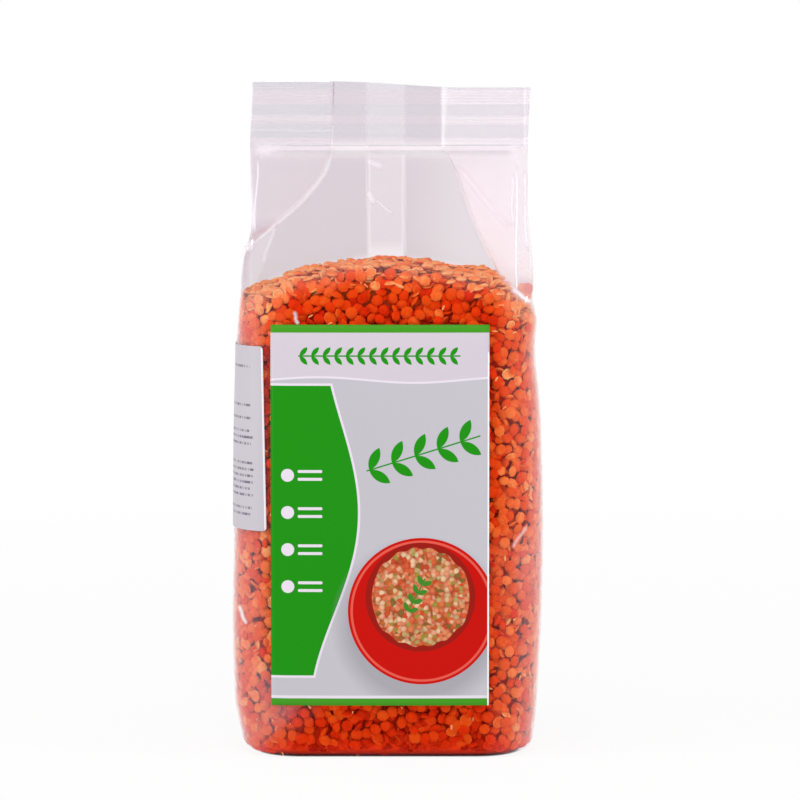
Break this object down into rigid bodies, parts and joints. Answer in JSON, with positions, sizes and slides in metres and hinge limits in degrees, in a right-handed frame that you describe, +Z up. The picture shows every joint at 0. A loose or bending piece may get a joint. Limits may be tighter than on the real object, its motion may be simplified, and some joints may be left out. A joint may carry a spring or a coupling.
{
  "type": "bag of lentils",
  "caption": "Clear side-gusseted bag packed with split lentils, standing on its base, with a crimped fin at the top, a folded seam down the back and stuck-on labels.",
  "frame": {"origin": "middle of the base, on the surface the bag stands on", "axes": "+Z up to the crimped fin, -Y out of the front with the large label, +X to the right of the front"},
  "size_m": [0.0943, 0.0519, 0.2],
  "materials": {
    "filled_film": "clear glossy film over orange-red split lentils",
    "printed_label": "satin printed label, pale grey with fields of green and red",
    "paper_sticker": "satin white sticker"
  },
  "bodies": {
    "root": {"bag": "filled_film", "front_label": "printed_label", "side_label": "paper_sticker"}
  },
  "joints": []
}
